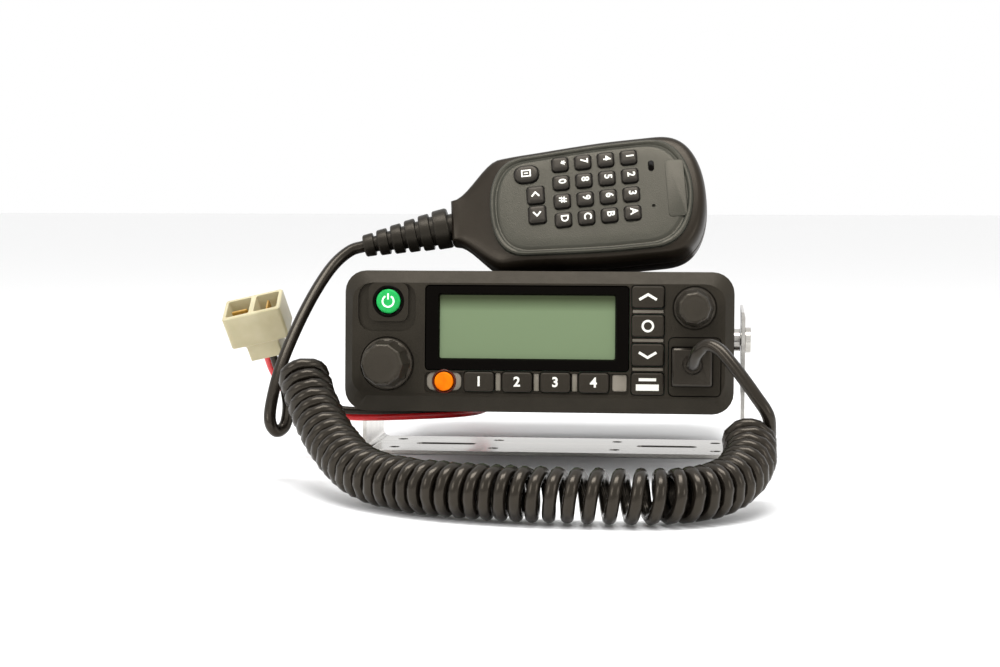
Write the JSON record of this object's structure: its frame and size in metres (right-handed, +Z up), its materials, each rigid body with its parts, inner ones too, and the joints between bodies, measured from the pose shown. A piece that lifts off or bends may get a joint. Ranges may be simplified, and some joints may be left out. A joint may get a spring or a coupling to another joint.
{
  "type": "mobile transceiver",
  "caption": "Under-dash two-way radio with a display, keys and knobs, in a tilting U bracket, with a keypad hand microphone on a curly cord and a short power lead.",
  "frame": {"origin": "middle of the underside of the mounting bracket's base", "axes": "+X to the right seen from the front, +Y to the rear, +Z up"},
  "size_m": [0.2155, 0.2674, 0.1281],
  "materials": {
    "black_plastic": "fine-grained moulded black plastic",
    "black_gloss": "glossy black acrylic window",
    "key_rubber": "black rubber keys with a satin face",
    "lit_green": "translucent green, lit from behind",
    "call_orange": "translucent orange cap",
    "lcd": "grey-green reflective liquid crystal",
    "cast_metal": "black powder-coated casting and sheet",
    "steel": "bare zinc-plated steel",
    "circuit_board": "green solder mask",
    "cord_rubber": "satin black polyurethane",
    "red_wire": "red PVC insulation",
    "nylon": "natural white nylon"
  },
  "bodies": {
    "radio": {"aerial_socket": "steel", "bracket_bolt_left": "steel", "bracket_bolt_right": "steel", "chassis": "cast_metal", "control_board": "circuit_board", "display_window": "black_gloss", "front_bezel": "black_plastic", "lcd_module": "lcd", "main_board": "circuit_board", "mic_back_shell": "black_plastic", "mic_board": "circuit_board", "mic_capsule": "steel", "mic_cord_coil": "cord_rubber", "mic_cord_lead": "cord_rubber", "mic_cord_tail": "cord_rubber", "mic_front_shell": "black_plastic", "mic_plug": "cord_rubber", "mic_socket": "black_plastic", "mic_strain_relief": "cord_rubber", "power_gland": "cord_rubber", "power_plug": "nylon", "power_wire_black": "cord_rubber", "power_wire_red": "red_wire", "speaker": "cast_metal", "top_cover": "cast_metal", "tuning_encoder": "steel", "volume_potentiometer": "steel"},
    "bracket": {"bracket": "steel"},
    "volume_knob": {"volume_knob": "black_plastic"},
    "tuning_knob": {"tuning_knob": "black_plastic"},
    "talk_switch": {"talk_switch": "key_rubber"},
    "power_button": {"power_button": "lit_green"},
    "call_button": {"call_button": "call_orange"},
    "function_key_1": {"function_key_1": "key_rubber"},
    "function_key_2": {"function_key_2": "key_rubber"},
    "function_key_3": {"function_key_3": "key_rubber"},
    "function_key_4": {"function_key_4": "key_rubber"},
    "up_key": {"up_key": "key_rubber"},
    "enter_key": {"enter_key": "key_rubber"},
    "down_key": {"down_key": "key_rubber"},
    "band_key": {"band_key": "key_rubber"},
    "mic_mode_key": {"mic_mode_key": "key_rubber"},
    "mic_up_key": {"mic_up_key": "key_rubber"},
    "mic_down_key": {"mic_down_key": "key_rubber"},
    "mic_key_1": {"mic_key_1": "key_rubber"},
    "mic_key_2": {"mic_key_2": "key_rubber"},
    "mic_key_3": {"mic_key_3": "key_rubber"},
    "mic_key_a": {"mic_key_a": "key_rubber"},
    "mic_key_4": {"mic_key_4": "key_rubber"},
    "mic_key_5": {"mic_key_5": "key_rubber"},
    "mic_key_6": {"mic_key_6": "key_rubber"},
    "mic_key_b": {"mic_key_b": "key_rubber"},
    "mic_key_7": {"mic_key_7": "key_rubber"},
    "mic_key_8": {"mic_key_8": "key_rubber"},
    "mic_key_9": {"mic_key_9": "key_rubber"},
    "mic_key_c": {"mic_key_c": "key_rubber"},
    "mic_key_star": {"mic_key_star": "key_rubber"},
    "mic_key_0": {"mic_key_0": "key_rubber"},
    "mic_key_hash": {"mic_key_hash": "key_rubber"},
    "mic_key_d": {"mic_key_d": "key_rubber"}
  },
  "joints": [
    {"name": "bracket_tilt", "type": "hinge", "parent": "radio", "child": "bracket", "pos_m": [0, 0, 0.04605], "axis": [1, 0, 0], "range_deg": [-20, 20]},
    {"name": "volume_turn", "type": "hinge", "parent": "radio", "child": "volume_knob", "pos_m": [-0.056, -0.09137, 0.04392], "axis": [0, 0.9976, -0.0698], "range_deg": [-140, 140]},
    {"name": "tuning_turn", "type": "hinge", "parent": "radio", "child": "tuning_knob", "pos_m": [0.058, -0.08987, 0.06536], "axis": [0, 0.9976, -0.0698], "continuous": true},
    {"name": "talk_press", "type": "slide", "parent": "radio", "child": "talk_switch", "axis": [0.094, -0.4384, -0.8939], "range_m": [0, 0.0012], "stiffness_N_per_m": 900, "springref_m": -0.0008},
    {"name": "power_button_press", "type": "slide", "parent": "radio", "child": "power_button", "axis": [0, 0.9976, -0.0698], "range_m": [0, 0.0008], "stiffness_N_per_m": 900, "springref_m": -0.0008},
    {"name": "call_button_press", "type": "slide", "parent": "radio", "child": "call_button", "axis": [0, 0.9976, -0.0698], "range_m": [0, 0.0008], "stiffness_N_per_m": 900, "springref_m": -0.0008},
    {"name": "function_key_1_press", "type": "slide", "parent": "radio", "child": "function_key_1", "axis": [0, 0.9976, -0.0698], "range_m": [0, 0.0008], "stiffness_N_per_m": 900, "springref_m": -0.0008},
    {"name": "function_key_2_press", "type": "slide", "parent": "radio", "child": "function_key_2", "axis": [0, 0.9976, -0.0698], "range_m": [0, 0.0008], "stiffness_N_per_m": 900, "springref_m": -0.0008},
    {"name": "function_key_3_press", "type": "slide", "parent": "radio", "child": "function_key_3", "axis": [0, 0.9976, -0.0698], "range_m": [0, 0.0008], "stiffness_N_per_m": 900, "springref_m": -0.0008},
    {"name": "function_key_4_press", "type": "slide", "parent": "radio", "child": "function_key_4", "axis": [0, 0.9976, -0.0698], "range_m": [0, 0.0008], "stiffness_N_per_m": 900, "springref_m": -0.0008},
    {"name": "up_key_press", "type": "slide", "parent": "radio", "child": "up_key", "axis": [0, 0.9976, -0.0698], "range_m": [0, 0.0008], "stiffness_N_per_m": 900, "springref_m": -0.0008},
    {"name": "enter_key_press", "type": "slide", "parent": "radio", "child": "enter_key", "axis": [0, 0.9976, -0.0698], "range_m": [0, 0.0008], "stiffness_N_per_m": 900, "springref_m": -0.0008},
    {"name": "down_key_press", "type": "slide", "parent": "radio", "child": "down_key", "axis": [0, 0.9976, -0.0698], "range_m": [0, 0.0008], "stiffness_N_per_m": 900, "springref_m": -0.0008},
    {"name": "band_key_press", "type": "slide", "parent": "radio", "child": "band_key", "axis": [0, 0.9976, -0.0698], "range_m": [0, 0.0008], "stiffness_N_per_m": 900, "springref_m": -0.0008},
    {"name": "mic_mode_key_press", "type": "slide", "parent": "radio", "child": "mic_mode_key", "axis": [0.0458, 0.8988, -0.436], "range_m": [0, 0.0008], "stiffness_N_per_m": 900, "springref_m": -0.0008},
    {"name": "mic_up_key_press", "type": "slide", "parent": "radio", "child": "mic_up_key", "axis": [0.0458, 0.8988, -0.436], "range_m": [0, 0.0008], "stiffness_N_per_m": 900, "springref_m": -0.0008},
    {"name": "mic_down_key_press", "type": "slide", "parent": "radio", "child": "mic_down_key", "axis": [0.0458, 0.8988, -0.436], "range_m": [0, 0.0008], "stiffness_N_per_m": 900, "springref_m": -0.0008},
    {"name": "mic_key_1_press", "type": "slide", "parent": "radio", "child": "mic_key_1", "axis": [0.0458, 0.8988, -0.436], "range_m": [0, 0.0008], "stiffness_N_per_m": 900, "springref_m": -0.0008},
    {"name": "mic_key_2_press", "type": "slide", "parent": "radio", "child": "mic_key_2", "axis": [0.0458, 0.8988, -0.436], "range_m": [0, 0.0008], "stiffness_N_per_m": 900, "springref_m": -0.0008},
    {"name": "mic_key_3_press", "type": "slide", "parent": "radio", "child": "mic_key_3", "axis": [0.0458, 0.8988, -0.436], "range_m": [0, 0.0008], "stiffness_N_per_m": 900, "springref_m": -0.0008},
    {"name": "mic_key_a_press", "type": "slide", "parent": "radio", "child": "mic_key_a", "axis": [0.0458, 0.8988, -0.436], "range_m": [0, 0.0008], "stiffness_N_per_m": 900, "springref_m": -0.0008},
    {"name": "mic_key_4_press", "type": "slide", "parent": "radio", "child": "mic_key_4", "axis": [0.0458, 0.8988, -0.436], "range_m": [0, 0.0008], "stiffness_N_per_m": 900, "springref_m": -0.0008},
    {"name": "mic_key_5_press", "type": "slide", "parent": "radio", "child": "mic_key_5", "axis": [0.0458, 0.8988, -0.436], "range_m": [0, 0.0008], "stiffness_N_per_m": 900, "springref_m": -0.0008},
    {"name": "mic_key_6_press", "type": "slide", "parent": "radio", "child": "mic_key_6", "axis": [0.0458, 0.8988, -0.436], "range_m": [0, 0.0008], "stiffness_N_per_m": 900, "springref_m": -0.0008},
    {"name": "mic_key_b_press", "type": "slide", "parent": "radio", "child": "mic_key_b", "axis": [0.0458, 0.8988, -0.436], "range_m": [0, 0.0008], "stiffness_N_per_m": 900, "springref_m": -0.0008},
    {"name": "mic_key_7_press", "type": "slide", "parent": "radio", "child": "mic_key_7", "axis": [0.0458, 0.8988, -0.436], "range_m": [0, 0.0008], "stiffness_N_per_m": 900, "springref_m": -0.0008},
    {"name": "mic_key_8_press", "type": "slide", "parent": "radio", "child": "mic_key_8", "axis": [0.0458, 0.8988, -0.436], "range_m": [0, 0.0008], "stiffness_N_per_m": 900, "springref_m": -0.0008},
    {"name": "mic_key_9_press", "type": "slide", "parent": "radio", "child": "mic_key_9", "axis": [0.0458, 0.8988, -0.436], "range_m": [0, 0.0008], "stiffness_N_per_m": 900, "springref_m": -0.0008},
    {"name": "mic_key_c_press", "type": "slide", "parent": "radio", "child": "mic_key_c", "axis": [0.0458, 0.8988, -0.436], "range_m": [0, 0.0008], "stiffness_N_per_m": 900, "springref_m": -0.0008},
    {"name": "mic_key_star_press", "type": "slide", "parent": "radio", "child": "mic_key_star", "axis": [0.0458, 0.8988, -0.436], "range_m": [0, 0.0008], "stiffness_N_per_m": 900, "springref_m": -0.0008},
    {"name": "mic_key_0_press", "type": "slide", "parent": "radio", "child": "mic_key_0", "axis": [0.0458, 0.8988, -0.436], "range_m": [0, 0.0008], "stiffness_N_per_m": 900, "springref_m": -0.0008},
    {"name": "mic_key_hash_press", "type": "slide", "parent": "radio", "child": "mic_key_hash", "axis": [0.0458, 0.8988, -0.436], "range_m": [0, 0.0008], "stiffness_N_per_m": 900, "springref_m": -0.0008},
    {"name": "mic_key_d_press", "type": "slide", "parent": "radio", "child": "mic_key_d", "axis": [0.0458, 0.8988, -0.436], "range_m": [0, 0.0008], "stiffness_N_per_m": 900, "springref_m": -0.0008}
  ]
}
